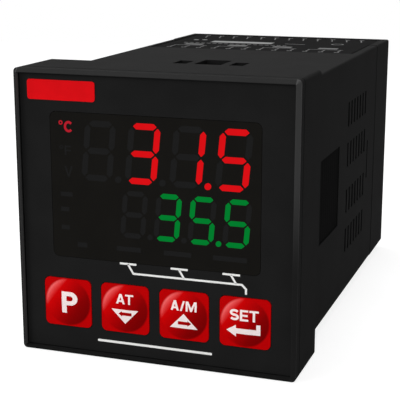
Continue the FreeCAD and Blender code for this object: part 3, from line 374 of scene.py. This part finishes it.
def key_plastic(name):
    """Red key plastic with a ball of painted shade and a painted highlight on each key, as if lit from the
    upper left.
    """
    look = Look(name, 0.4, 0.02)
    place_across, _, place_up = look.axes()
    centre = KEY_CENTRES["at"] * MM
    half = KEY_PITCH / 2 * MM
    across = look.maths("WRAP", look.maths("SUBTRACT", place_across, centre.x), half, -half)
    across = look.maths("DIVIDE", across, KEY_BALL * MM)
    up = look.maths("DIVIDE", look.maths("SUBTRACT", place_up, centre.z), KEY_BALL * MM)
    squares = [look.maths("MULTIPLY", value, value) for value in (across, up)]
    away = look.maths("SQRT", look.maths("ADD", *squares))

    # Painted shade: darker towards the lower right of each key, lighter towards the upper left.
    shade = look.maths("MULTIPLY_ADD", tilted(look, across, up, -0.84, 0.54), 0.5, 0.5)
    ball = look.ramp(shade, [(position, colour(*ink)) for position, ink in BALL_PAINTED_SHADES])

    # Painted highlight: a pale crescent near the upper left rim of the ball.
    towards = tilted(look, across, up, -0.78, 0.62)
    painted_highlight = look.maths("MAXIMUM", look.maths("SUBTRACT", towards, 0.62), 0)
    painted_highlight = look.maths("MULTIPLY", look.maths("MULTIPLY", painted_highlight, 2.4), look.maths("POWER", away, 3))
    ball = look.mix(painted_highlight, ball, colour(255, 120, 120))

    edge = look.maths("MULTIPLY_ADD", away, -12, 12.5)
    edge.node.use_clamp = True
    look.paint(look.mix(edge, colour(190, 1, 4), ball))
    look.grain(1.2, 0.003)
    return look.material


MATERIALS = {
    "housing_plastic": housing_plastic("housing_black"),
    "front_plate": moulded("front_film", colour(29, 29, 29), 0.6, 0.01, 0.4, 0.003),
    "smoked_window": moulded("smoked_window", colour(20, 19, 17), 0.4, 0.02, 6, 0.005),
    "key_cap": key_plastic("key_red"),
    "plunger_plastic": moulded("plunger_black", colour(44, 44, 44)),
    "switch_case": moulded("switch_grey", colour(70, 70, 72)),
    "circuit_board": laminated_board("circuit_board"),
    "screw_steel": metal("screw_steel", colour(200, 202, 205), 0.35),
    "display_case": moulded("display_case", colour(46, 46, 46)),
    "light_guide": moulded("light_guide", colour(200, 200, 198), 0.5, 0.3),
    "gasket_rubber": moulded("gasket_rubber", colour(24, 24, 24), 0.8, 0.1, 0.5, 0.03),
    "label_film": moulded("label_film", colour(17, 17, 17), 0.7, 0.0025, 0.6, 0.004),
    "rear_plastic": moulded("rear_black", colour(30, 30, 31), 0.55, 0.1),
    "terminal_plastic": moulded("terminal_black", colour(26, 26, 27), 0.45, 0.2),
    "contact_brass": metal("contact_tin", colour(205, 196, 172), 0.35),
    "header_plastic": moulded("header_black", colour(38, 38, 38)),
    "core_steel": stacked_sheets("core_steel"),
    "winding_tape": moulded("winding_tape", colour(208, 178, 70), 0.45, 0.4),
    "relay_case": moulded("relay_blue", colour(30, 60, 124), 0.35, 0.4),
    "capacitor_sleeve": moulded("capacitor_sleeve", colour(32, 32, 48), 0.3, 0.5),
    "chip_case": moulded("chip_black", colour(38, 38, 38)),
}
WHITE_PRINT = printed("print_white", colour(244, 244, 242))
KEY_PRINT = printed("key_print", colour(255, 240, 238))
BADGE_RED = printed("badge_red", colour(226, 14, 22), 0.5, 0.02)
LIT_RED = lit("lit_red", colour(214, 14, 20))
LIT_GREEN = lit("lit_green", colour(0, 122, 44))
LIT_UNIT = lit("lit_unit", colour(176, 28, 42))
UNLIT = printed("unlit_segment", colour(26, 26, 26), 0.3, 0.03)
LABEL_PRINT = printed("label_print", colour(84, 84, 84), 0.5, 0.02)
# Painted shade along the top label's edges.
LABEL_EDGE_SHADE = printed("label_edge_shade", colour(7, 7, 7), 0.7, 0.0015)
LABEL_WHITE = printed("label_white", colour(116, 116, 116), 0.5, 0.02)


def dress_nodes():
    """Each CAD node gets the material of its slot."""
    for row in frame["record"]["subparts"]:
        node = frame["nodes"][row["node"]]
        node.data.materials.clear()
        node.data.materials.append(MATERIALS[row["material_slot"]])


# ---------------------------------------------------------------- flat shapes
def filled(outlines):
    """A flat mesh of the outlines in X and Y; an outline inside another one is a hole in it."""
    curve = bpy.data.curves.new("outlines", "CURVE")
    curve.dimensions = "2D"
    curve.fill_mode = "BOTH"
    for outline in outlines:
        spline = curve.splines.new("POLY")
        spline.points.add(len(outline) - 1)
        spline.use_cyclic_u = True
        for point, (across, up) in zip(spline.points, outline):
            point.co = (across, up, 0, 1)
    holder = bpy.data.objects.new("outlines", curve)
    bpy.context.scene.collection.objects.link(holder)
    mesh = bpy.data.meshes.new_from_object(holder)
    bpy.data.objects.remove(holder)
    bm = bmesh.new()
    bm.from_mesh(mesh)
    bpy.data.meshes.remove(mesh)
    bmesh.ops.remove_doubles(bm, verts=bm.verts[:], dist=1e-4)
    return bm


def cut_by_grid(bm, step):
    """Cuts the flat faces every step mm both ways, so that they can follow a domed surface."""
    for axis in (0, 1):
        values = [vertex.co[axis] for vertex in bm.verts]
        for index in range(1, 1 + int((max(values) - min(values)) / step)):
            point = Vector()
            point[axis] = min(values) + index * step
            normal = Vector()
            normal[axis] = 1
            everything = bm.verts[:] + bm.edges[:] + bm.faces[:]
            bmesh.ops.bisect_plane(bm, geom=everything, plane_co=point, plane_no=normal, dist=1e-5)


def thicken(name, bm, material, body, thickness, into):
    """Thickens flat faces outwards, against the direction into the part, and lets them ride on a body."""
    result = bmesh.ops.extrude_face_region(bm, geom=bm.faces[:])
    for item in result["geom"]:
        if isinstance(item, bmesh.types.BMVert):
            item.co -= thickness * into
    bmesh.ops.recalc_face_normals(bm, faces=bm.faces[:])
    mesh = bpy.data.meshes.new(name)
    bm.to_mesh(mesh)
    bm.free()
    mesh.transform(Matrix.Scale(MM, 4))
    mesh.materials.append(material)
    made = bpy.data.objects.new(name, mesh)
    bpy.context.scene.collection.objects.link(made)
    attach(made, body)


def print_on_front(name, outlines, material, thickness=PRINT):
    """A flat print in the plane of the front; the outlines are in the X and Z of the frame."""
    bm = filled(outlines)
    for vertex in bm.verts:
        vertex.co = (vertex.co.x, FACE, vertex.co.y)
    thicken(name, bm, material, "case", thickness, BACK)


def print_on_key(key, outlines):
    """White legend laid on the domed face of a key; the outlines are placed from its centre."""
    centre = KEY_CENTRES[key]
    bm = filled(outlines)
    cut_by_grid(bm, LEGEND_GRID)
    mesh = frame["nodes"][f"key_{key}"].data
    points = [vertex.co / MM for vertex in mesh.vertices]
    surface = BVHTree.FromPolygons(points, [tuple(face.vertices) for face in mesh.polygons])
    for vertex in bm.verts:
        start = Vector((centre.x + vertex.co.x, 2 * FACE, centre.z + vertex.co.y))
        vertex.co = surface.ray_cast(start, BACK)[0] - LEGEND_LIFT * BACK
    thicken(f"legend_{key}", bm, KEY_PRINT, f"button_{key}", PRINT, BACK)


# ---------------------------------------------------------------- outlines
def box(left, bottom, right, top, corner=0.0):
    """A rectangle, with rounded corners if a radius is given."""
    if not corner:
        return [(left, bottom), (right, bottom), (right, top), (left, top)]
    centres = (
        (right - corner, bottom + corner, -90),
        (right - corner, top - corner, 0),
        (left + corner, top - corner, 90),
        (left + corner, bottom + corner, 180),
    )
    points = []
    for across, up, start in centres:
        points += arc((across, up), (corner, corner), start, start + 90, 6)
    return points


def arc(centre, radii, start, end, steps):
    """Points on an ellipse from one angle to another, in degrees."""
    angles = [math.radians(start + (end - start) * index / steps) for index in range(steps + 1)]
    return [
        (centre[0] + radii[0] * math.cos(angle), centre[1] + radii[1] * math.sin(angle))
        for angle in angles
    ]


def circle(centre, radius):
    """A circle of 24 points."""
    return arc(centre, (radius, radius), 0, 345, 23)


def ring(centre, radius, hole):
    """A disc with a round hole in it."""
    return [circle(centre, radius), circle(centre, hole)]


def stroke(points, width):
    """The outline of a mitred line through the points."""
    places = [Vector(point) for point in points]
    left = []
    right = []
    for index, place in enumerate(places):
        ahead = places[min(index + 1, len(places) - 1)] - place
        behind = place - places[max(index - 1, 0)]
        ahead = ahead.normalized() if ahead.length else behind.normalized()
        behind = behind.normalized() if behind.length else ahead
        middle = (ahead + behind).normalized()
        side = Vector((-middle.y, middle.x))
        reach = width / 2 / side.dot(Vector((-behind.y, behind.x)))
        left.append(tuple(place + side * reach))
        right.append(tuple(place - side * reach))
    return left + right[::-1]


def moved(outlines, across, up):
    """The outlines shifted to the right and upwards."""
    return [[(x + across, y + up) for x, y in outline] for outline in outlines]


# The outlines of each sign for its width w, height h, stroke s and the thin stroke of its level bars.
def letter_t(w, h, s, thin):
    left, right = (w - s) / 2, (w + s) / 2
    under = h - thin
    return [[(0, h), (0, under), (left, under), (left, 0), (right, 0), (right, under), (w, under), (w, h)]]


def letter_e(w, h, s, thin):
    return [[(0, 0), (w, 0), (w, thin), (s, thin)] + upper_arms(w, h, s, thin)]


def letter_f(w, h, s, thin):
    return [[(0, 0), (s, 0)] + upper_arms(w, h, s, thin)]


def upper_arms(w, h, s, thin):
    """What an E and an F have in common: the middle arm and the top arm."""
    low = (h - thin) / 2
    middle = [(s, low), (0.92 * w, low), (0.92 * w, low + thin), (s, low + thin)]
    return middle + [(s, h - thin), (0.97 * w, h - thin), (0.97 * w, h), (0, h)]


def letter_a(w, h, s, thin):
    flat = 0.6 * s
    lean = (w / 2 - flat) / h
    foot = 1.12 * s
    low, high = 0.2 * h, 0.2 * h + thin
    legs = [(0, 0), (w / 2 - flat, h), (w / 2 + flat, h), (w, 0), (w - foot, 0)]
    legs += [(w - foot - lean * low, low), (foot + lean * low, low), (foot, 0)]
    inside = foot + lean * high
    return [legs, [(inside, high), (w - inside, high), (w / 2, (w / 2 - foot) / lean)]]


def letter_m(w, h, s, thin):
    shoulder = 1.25 * s
    top = [(0, 0), (0, h), (shoulder, h), (w / 2, 0.36 * h), (w - shoulder, h), (w, h), (w, 0), (w - s, 0)]
    valley = [(w - s, 0.72 * h), (w / 2 + 0.45 * s, 0), (w / 2 - 0.45 * s, 0), (s, 0.72 * h), (s, 0)]
    return [top + valley]


def letter_v(w, h, s, thin):
    inside = [(0, h), (s, h), (w / 2, 1.3 * s), (w - s, h), (w, h)]
    return [inside + [(w / 2 + s / 2, 0), (w / 2 - s / 2, 0)]]


def letter_p(w, h, s, thin):
    bowl = 0.315 * h
    rim = (w - 1.1 * bowl, h - bowl)
    outer = [(0, 0), (0, h)] + arc(rim, (1.1 * bowl, bowl), 90, -90, 12) + [(s, h - 2 * bowl), (s, 0)]
    inner = [(s, h - 2 * bowl + thin), (s, h - thin)]
    return [outer, inner + arc(rim, (1.1 * bowl - s, bowl - thin), 90, -90, 12)]


def letter_c(w, h, s, thin):
    return [stroke(arc((w / 2, h / 2), ((w - s) / 2, (h - s) / 2), 42, 318, 16), s)]


def letter_s(w, h, s, thin):
    radii = ((w - s) / 2, (h - s) / 4)
    upper = arc((w / 2, h - s / 2 - radii[1]), radii, 25, 262, 12)
    lower = arc((w / 2, s / 2 + radii[1]), radii, 82, -155, 12)
    return [stroke(upper + lower, s)]


def slash(w, h, s, thin):
    return [[(0, 0), (s, 0), (w, h), (w - s, h)]]


LETTERS = {
    "A": letter_a,
    "C": letter_c,
    "E": letter_e,
    "F": letter_f,
    "M": letter_m,
    "P": letter_p,
    "S": letter_s,
    "T": letter_t,
    "V": letter_v,
    "/": slash,
}


def letter(sign, width, height, weight):
    """Outlines of a plain block letter with its lower left corner at the origin; level bars are thinner."""
    return LETTERS[sign](width, height, weight, 0.85 * weight)


def word(signs, widths, height, weight, gap):
    """Letters in a row, centred on the origin; each sign has its own width."""
    outlines = []
    left = -(sum(widths) + gap * (len(widths) - 1)) / 2
    for sign, width in zip(signs, widths):
        outlines += moved(letter(sign, width, height, weight), left, -height / 2)
        left += width + gap
    return outlines


def arrow(tip, head, tail, level, half_head, half_shaft):
    """A straight arrow along X: its tip, the back of its head and its tail."""
    return [(tip, level), (head, level + half_head), (head, level + half_shaft), (tail, level + half_shaft),
            (tail, level - half_shaft), (head, level - half_shaft), (head, level - half_head)]


# ---------------------------------------------------------------- displays
def bar(centre, length, width, upright):
    """A segment of a digit: a bar with blunt pointed ends."""
    half = length / 2
    shoulder = half - 0.5 * width
    blunt = 0.07 * width
    points = [(-half, -blunt), (-shoulder, -width / 2), (shoulder, -width / 2), (half, -blunt)]
    points += [(-along, -across) for along, across in points]
    if upright:
        points = [(-across, along) for along, across in points]
    return [(centre[0] + across, centre[1] + up) for across, up in points]


def digit_bars(half_width, half_height, width):
    """The seven bars of a digit round its centre, by their usual letters; half sizes go to their middles."""
    across = 2 * half_width - 0.5 * width
    down = half_height - 0.5 * width
    bars = {}
    for label, level in (("a", half_height), ("g", 0), ("d", -half_height)):
        bars[label] = bar((0, level), across, width, False)
    for label, side, level in (("f", -1, 1), ("b", 1, 1), ("e", -1, -1), ("c", 1, -1)):
        bars[label] = bar((side * half_width, level * half_height / 2), down, width, True)
    return bars


def add_digits(name, text, material, pitch, half_width, half_height, width, slant, rise):
    """A row of digits on the window: the bars that are lit, and the others nearly as dark as it is.

    The row stands rise mm above the middle of its display, and its digits lean by slant. The dot before
    the last digit is lit.
    """
    low, high = node_box(f"{name}_display")
    level = (low.z + high.z) / 2 + rise
    first = (low.x + high.x) / 2 - (len(text) - 1) / 2 * pitch
    bars = digit_bars(half_width, half_height, width)
    dot = circle((half_width + 1.55 * width, -half_height), 0.55 * width)
    shown = []
    dark = []
    for index, sign in enumerate(text):
        centre = first + index * pitch
        parts = [(points, label in SEGMENTS[sign]) for label, points in bars.items()]
        if index < len(text) - 1:
            parts.append((dot, index == len(text) - 2))
        for points, is_lit in parts:
            outline = [(centre + across + slant * up, level + up) for across, up in points]
            if is_lit:
                shown.append(outline)
            else:
                dark.append(outline)
    print_on_front(f"{name}_lit", shown, material)
    print_on_front(f"{name}_unlit", dark, UNLIT, FAINT_PRINT)


def add_window_lamps():
    """The unit lamp that is lit, and the dark lamps beside and below the digits."""
    unit = ring((SIGNS_LEFT + 0.5, 23.0), 0.55, 0.25)
    unit += moved(letter("C", 2.5, 2.8, 0.6), SIGNS_LEFT + 1.35, 20.7)
    print_on_front("unit_lamp", unit, LIT_UNIT)
    dark = ring((SIGNS_LEFT + 0.5, 17.0), 0.5, 0.25)
    dark += moved(letter("F", 1.8, 2.4, 0.45), SIGNS_LEFT + 1.4, 15.0)
    dark += moved(letter("V", 2.2, 2.6, 0.5), SIGNS_LEFT + 1.2, 9.7)
    for level, width in ((4.7, 3.2), (0.9, 2.2), (-3.7, 2.2)):
        dark.append(box(SIGNS_LEFT, level, SIGNS_LEFT + width, level + 1.1))
    for start, end in ((-20.2, -17.6), (-9.7, -3.4), (2.6, 9.6), (15.1, 23.5)):
        dark.append(box(start, -7.9, end, -6.7))
    print_on_front("dark_lamps", dark, UNLIT, FAINT_PRINT)


# ---------------------------------------------------------------- front print
def add_front_print():
    """The plain red plate, the line that joins the lamps to the last key, and the plain rule."""
    left = OVERLAY_LOW.x + BADGE_SIDE
    top = OVERLAY_HIGH.z - BADGE_TOP
    badge = box(left, top - BADGE_HEIGHT, left + BADGE_WIDTH, top, 0.7)
    print_on_front("badge", [badge], BADGE_RED, BADGE_THICKNESS)
    lines = [
        [(-6.83, -11.1), (-5.44, -13.4), (22.31, -13.3), (23.35, -14.3), (23.35, -15.6)],
        [(6.46, -11.2), (7.7, -13.2)],
        [(19.59, -11.2), (20.85, -13.2)],
    ]
    for middle in STATUS_LAMPS:
        lines.append([(middle - STATUS_HALF, STATUS_LEVEL), (middle + STATUS_HALF, STATUS_LEVEL)])
    for index, points in enumerate(lines):
        print_on_front(f"lamp_line_{index + 1}", [stroke(points, 0.5)], WHITE_PRINT)
    print_on_front("rule", [box(-15.3, -32.0, 14.9, -31.4, 0.25)], WHITE_PRINT)


def add_key_legends():
    """P; AT over an arrow and a triangle that points down; A/M over one that points up; SET and enter."""
    print_on_key("p", moved(word("P", (4.3,), 5.55, 1.3, 0), 0.55, 0.05))
    letters = moved(word("AT", (2.35, 2.15), 2.5, 0.5, 0.05), 0.03, 2.55)
    triangle = [(-3.5, -0.15), (3.6, -0.15), (0.1, -3.8)]
    print_on_key("at", letters + [triangle, arrow(-1.65, -0.68, 1.85, -1.25, 0.72, 0.42)])
    letters = moved(word("A/M", (2.15, 1.25, 2.75), 2.5, 0.5, 0.25), 0.0, 2.55)
    triangle = [(-3.6, -3.15), (3.55, -3.15), (0.05, 0.6)]
    print_on_key("am", letters + [triangle, arrow(2.0, 1.0, -1.45, -1.82, 0.72, 0.43)])
    letters = moved(word("SET", (2.35, 2.1, 2.3), 2.75, 0.58, 0.22), -0.15, 1.9)
    level, half = -2.1, 0.66
    enter = [(-4.6, level), (-2.15, level + 1.5), (-2.15, level + half), (2.9, level + half), (2.9, -0.15),
             (3.9, -0.15), (3.9, level - half), (-2.15, level - half), (-2.15, level - 1.5)]
    print_on_key("set", letters + [enter])


# ---------------------------------------------------------------- top label
def label_contacts():
    """A row of rings along both ends of the label, with leads at the front and switch blades behind."""
    back = LABEL_SIZE.y
    outlines = []
    for index in range(12):
        across = LABEL_START + index * LABEL_PITCH
        outlines += ring((across, 3), 0.8, 0.45) + ring((across, back - 3), 0.8, 0.45)
        outlines.append(box(across - 0.2, 4.2, across + 0.2, 8.4))
        outlines.append(stroke([(across, back - 4.2), (across + 1.1, back - 9.5)], 0.4))
    return outlines


def label_groups():
    """A bar over every three contacts, with a block behind it."""
    outlines = []
    for group in range(4):
        left = LABEL_START + 3 * group * LABEL_PITCH
        right = left + 2 * LABEL_PITCH
        outlines.append(box(left - 0.6, 9, right + 0.6, 9.5))
        outlines.append(box(left + 1.8, 11.2, right - 1.8, 14.2))
    return outlines


def label_dashes():
    """Dashes in place of a line of text."""
    starts = [LABEL_START + 1.9 * index for index in range(18)]
    return [box(start, 16.2, start + 1.2, 17.2) for start in starts]


def print_on_label(name, outlines, material):
    """A flat print on the top label; the outlines are placed from its front left corner."""
    bm = filled(moved(outlines, LABEL_LOW.x, LABEL_LOW.y))
    for vertex in bm.verts:
        vertex.co = (vertex.co.x, vertex.co.y, LABEL_LOW.z + LABEL_SIZE.z)
    thicken(name, bm, material, "case", PRINT, DOWN)


def add_label_print():
    """A plain wiring sketch and a pale field on the top label, without any words, and a dark frame of
    painted shade along its edges.
    """
    sketch = label_contacts() + label_groups() + label_dashes()
    sketch += [box(36.5, 22, 43, 22.6)] + ring((52.5, 25.9), 2.0, 1.5)
    print_on_label("label_sketch", sketch, LABEL_PRINT)
    field = [box(12.5, 20.1, 32.5, 24.9), circle((5.8, 26.0), 0.9), circle((8.4, 26.9), 0.9)]
    print_on_label("label_field", field, LABEL_WHITE)
    # Painted shade: a dark frame along the label's edges, where the gap round it would be in shadow.
    outside = box(0, 0, LABEL_SIZE.x, LABEL_SIZE.y)
    inside = box(0.6, 0.6, LABEL_SIZE.x - 0.6, LABEL_SIZE.y - 0.6)
    print_on_label("label_edge_shade_frame", [outside, inside], LABEL_EDGE_SHADE)


# ---------------------------------------------------------------- stage, light and camera
def white_rays(nodes, links):
    """1 for the rays that show the backdrop: those of the camera, of reflections and through glass."""
    path = nodes.new("ShaderNodeLightPath")
    total = path.outputs["Is Camera Ray"]
    for name in ("Is Glossy Ray", "Is Transmission Ray"):
        node = nodes.new("ShaderNodeMath")
        node.operation = "MAXIMUM"
        links.new(total, node.inputs[0])
        links.new(path.outputs[name], node.inputs[1])
        total = node.outputs["Value"]
    return total


def add_floor():
    """A pale floor under the part, which shows its shadow softly on white."""
    level = cad_box[0][2]
    sides = ((-1, -1), (1, -1), (1, 1), (-1, 1))
    corners = [(FLOOR_REACH * across, FLOOR_REACH * depth, level) for across, depth in sides]
    mesh = bpy.data.meshes.new("floor")
    mesh.from_pydata(corners, [], [(0, 1, 2, 3)])
    floor = bpy.data.objects.new("floor", mesh)
    bpy.context.scene.collection.objects.link(floor)
    look = Look("floor_paper", 0.9, 0.0)
    look.tint(colour(140, 140, 140), colour(146, 146, 146), 40)
    look.grain(2, 0.02)
    glow = look.nodes.new("ShaderNodeEmission")
    glow.inputs["Strength"].default_value = FLOOR_GLOW
    clear = look.nodes.new("ShaderNodeEmission")
    clear.inputs["Strength"].default_value = 0
    shown = look.nodes.new("ShaderNodeMixShader")
    look.links.new(white_rays(look.nodes, look.links), shown.inputs["Fac"])
    look.links.new(clear.outputs["Emission"], shown.inputs[1])
    look.links.new(glow.outputs["Emission"], shown.inputs[2])
    both = look.nodes.new("ShaderNodeAddShader")
    look.links.new(look.shader.outputs["BSDF"], both.inputs[0])
    look.links.new(shown.outputs["Shader"], both.inputs[1])
    look.links.new(both.outputs["Shader"], look.nodes["Material Output"].inputs["Surface"])
    mesh.materials.append(look.material)


def add_world():
    """Soft light from all round, and a white backdrop."""
    world = bpy.data.worlds.new("studio")
    bpy.context.scene.world = world
    world.use_nodes = True
    nodes = world.node_tree.nodes
    links = world.node_tree.links
    nodes.clear()
    blend = nodes.new("ShaderNodeMixShader")
    links.new(white_rays(nodes, links), blend.inputs["Fac"])
    for socket, strength in ((1, WORLD_STRENGTH), (2, BACKDROP_STRENGTH)):
        backdrop = nodes.new("ShaderNodeBackground")
        backdrop.inputs["Color"].default_value = (1, 1, 1, 1)
        backdrop.inputs["Strength"].default_value = strength
        links.new(backdrop.outputs["Background"], blend.inputs[socket])
    output = nodes.new("ShaderNodeOutputWorld")
    links.new(blend.outputs["Shader"], output.inputs["Surface"])


def add_softbox(name, place, target, side, power):
    """A square area lamp that points at the target."""
    lamp = bpy.data.lights.new(name, "AREA")
    lamp.shape = "RECTANGLE"
    lamp.size = side
    lamp.size_y = side
    lamp.energy = power
    holder = bpy.data.objects.new(name, lamp)
    bpy.context.scene.collection.objects.link(holder)
    holder.location = place
    holder.rotation_euler = (Vector(target) - Vector(place)).to_track_quat("-Z", "Y").to_euler()


def add_camera():
    """The camera looks at the front from the right and from above."""
    camera = bpy.data.cameras.new("camera")
    camera.sensor_width = 36
    camera.lens = CAMERA_LENS
    holder = bpy.data.objects.new("camera", camera)
    bpy.context.scene.collection.objects.link(holder)
    holder.location = CAMERA_PLACE
    holder.rotation_euler = (math.radians(90 - CAMERA_DOWN), 0, math.radians(CAMERA_LEFT))
    bpy.context.scene.camera = holder


# ---------------------------------------------------------------- build
dress_nodes()
add_digits(
    "process", " 315", LIT_RED,
    pitch=11.4, half_width=3.3, half_height=6.65, width=1.52, slant=0.0985, rise=-0.05,
)
add_digits(
    "setpoint", " 355", LIT_GREEN,
    pitch=8.69, half_width=2.6, half_height=5.25, width=1.28, slant=0.09, rise=0.66,
)
add_window_lamps()
add_front_print()
add_key_legends()
add_label_print()
add_floor()
add_world()
for lamp_row in LAMPS:
    add_softbox(*lamp_row)
add_camera()
bpy.context.scene.view_settings.view_transform = "Standard"
